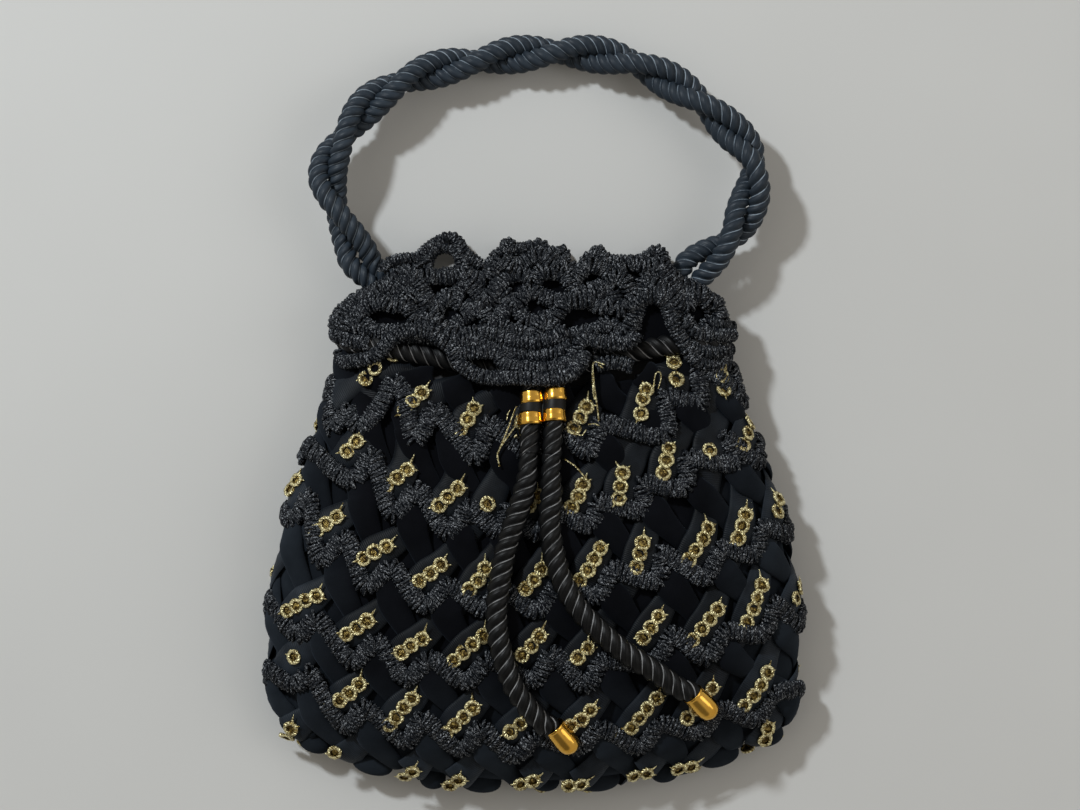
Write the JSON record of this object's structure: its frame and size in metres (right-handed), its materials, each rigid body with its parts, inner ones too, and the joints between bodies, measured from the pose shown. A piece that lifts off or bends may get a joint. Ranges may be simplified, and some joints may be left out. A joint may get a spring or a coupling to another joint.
{
  "type": "woven drawstring pouch",
  "caption": "Soft pouch woven from velvet strips and slanted gold-chain ribbons, with a frilled crochet collar, a drawstring with a double bead and end caps, and a twisted rope handle.",
  "frame": {"origin": "centre of the pouch's and handle's outline on the surface that its back lies on", "axes": "+Z out of the pouch's front, +Y from its bottom edge towards its mouth and handle, +X towards the right seen from the front"},
  "size_m": [0.2392, 0.3432, 0.0555],
  "materials": {
    "weave": "deep-black velvet and fuzzy crochet",
    "ribbon": "grosgrain ribbon with a gold thread chain along it",
    "lining": "plain black lining",
    "crochet": "fuzzy black crochet yarn with fine grey glints",
    "cord": "satin three-strand twisted cord",
    "gold": "polished gold plating"
  },
  "bodies": {
    "pouch": {"woven_front": "weave", "woven_back": "weave", "lining_bag": "lining", "chain_ribbon_01": "ribbon", "chain_ribbon_02": "ribbon", "chain_ribbon_03": "ribbon", "chain_ribbon_04": "ribbon", "chain_ribbon_05": "ribbon", "chain_ribbon_06": "ribbon", "chain_ribbon_07": "ribbon", "chain_ribbon_08": "ribbon", "chain_ribbon_09": "ribbon", "chain_ribbon_10": "ribbon", "chain_ribbon_11": "ribbon", "chain_ribbon_12": "ribbon", "chain_ribbon_13": "ribbon", "chain_ribbon_14": "ribbon", "chain_ribbon_15": "ribbon", "chain_ribbon_16": "ribbon", "chain_ribbon_17": "ribbon", "chain_ribbon_18": "ribbon", "chain_ribbon_19": "ribbon", "chain_ribbon_20": "ribbon", "collar_back": "crochet", "drawstring_neck": "cord", "handle_end_left_outer": "cord", "handle_end_left_inner": "cord", "handle_end_right_outer": "cord", "handle_end_right_inner": "cord"},
    "mouth_flap": {"collar_front": "crochet"},
    "bead": {"cord_bead": "gold"},
    "tail_left": {"drawstring_tail_left": "cord", "end_cap_left": "gold"},
    "tail_right": {"drawstring_tail_right": "cord", "end_cap_right": "gold"},
    "handle": {"handle_rope_a": "cord", "handle_rope_b": "cord"}
  },
  "joints": [
    {"name": "handle_swing", "type": "hinge", "parent": "pouch", "child": "handle", "pos_m": [0, 0.064, 0.0215], "axis": [1, 0, 0], "range_deg": [0, 100]},
    {"name": "mouth_open", "type": "hinge", "parent": "pouch", "child": "mouth_flap", "pos_m": [0, 0.024, 0.03], "axis": [1, 0, 0], "range_deg": [0, 22]},
    {"name": "bead_slide", "type": "slide", "parent": "pouch", "child": "bead", "axis": [-0.052, -0.9812, 0.186], "range_m": [0, 0.018]},
    {"name": "tail_left_lift", "type": "hinge", "parent": "pouch", "child": "tail_left", "pos_m": [-0.00258, -0.02493, 0.05206], "axis": [-0.9986, 0.0511, -0.0097], "range_deg": [0, 120]},
    {"name": "tail_right_lift", "type": "hinge", "parent": "pouch", "child": "tail_right", "pos_m": [0.00761, -0.02545, 0.05216], "axis": [-0.9986, 0.0511, -0.0097], "range_deg": [0, 120]}
  ]
}
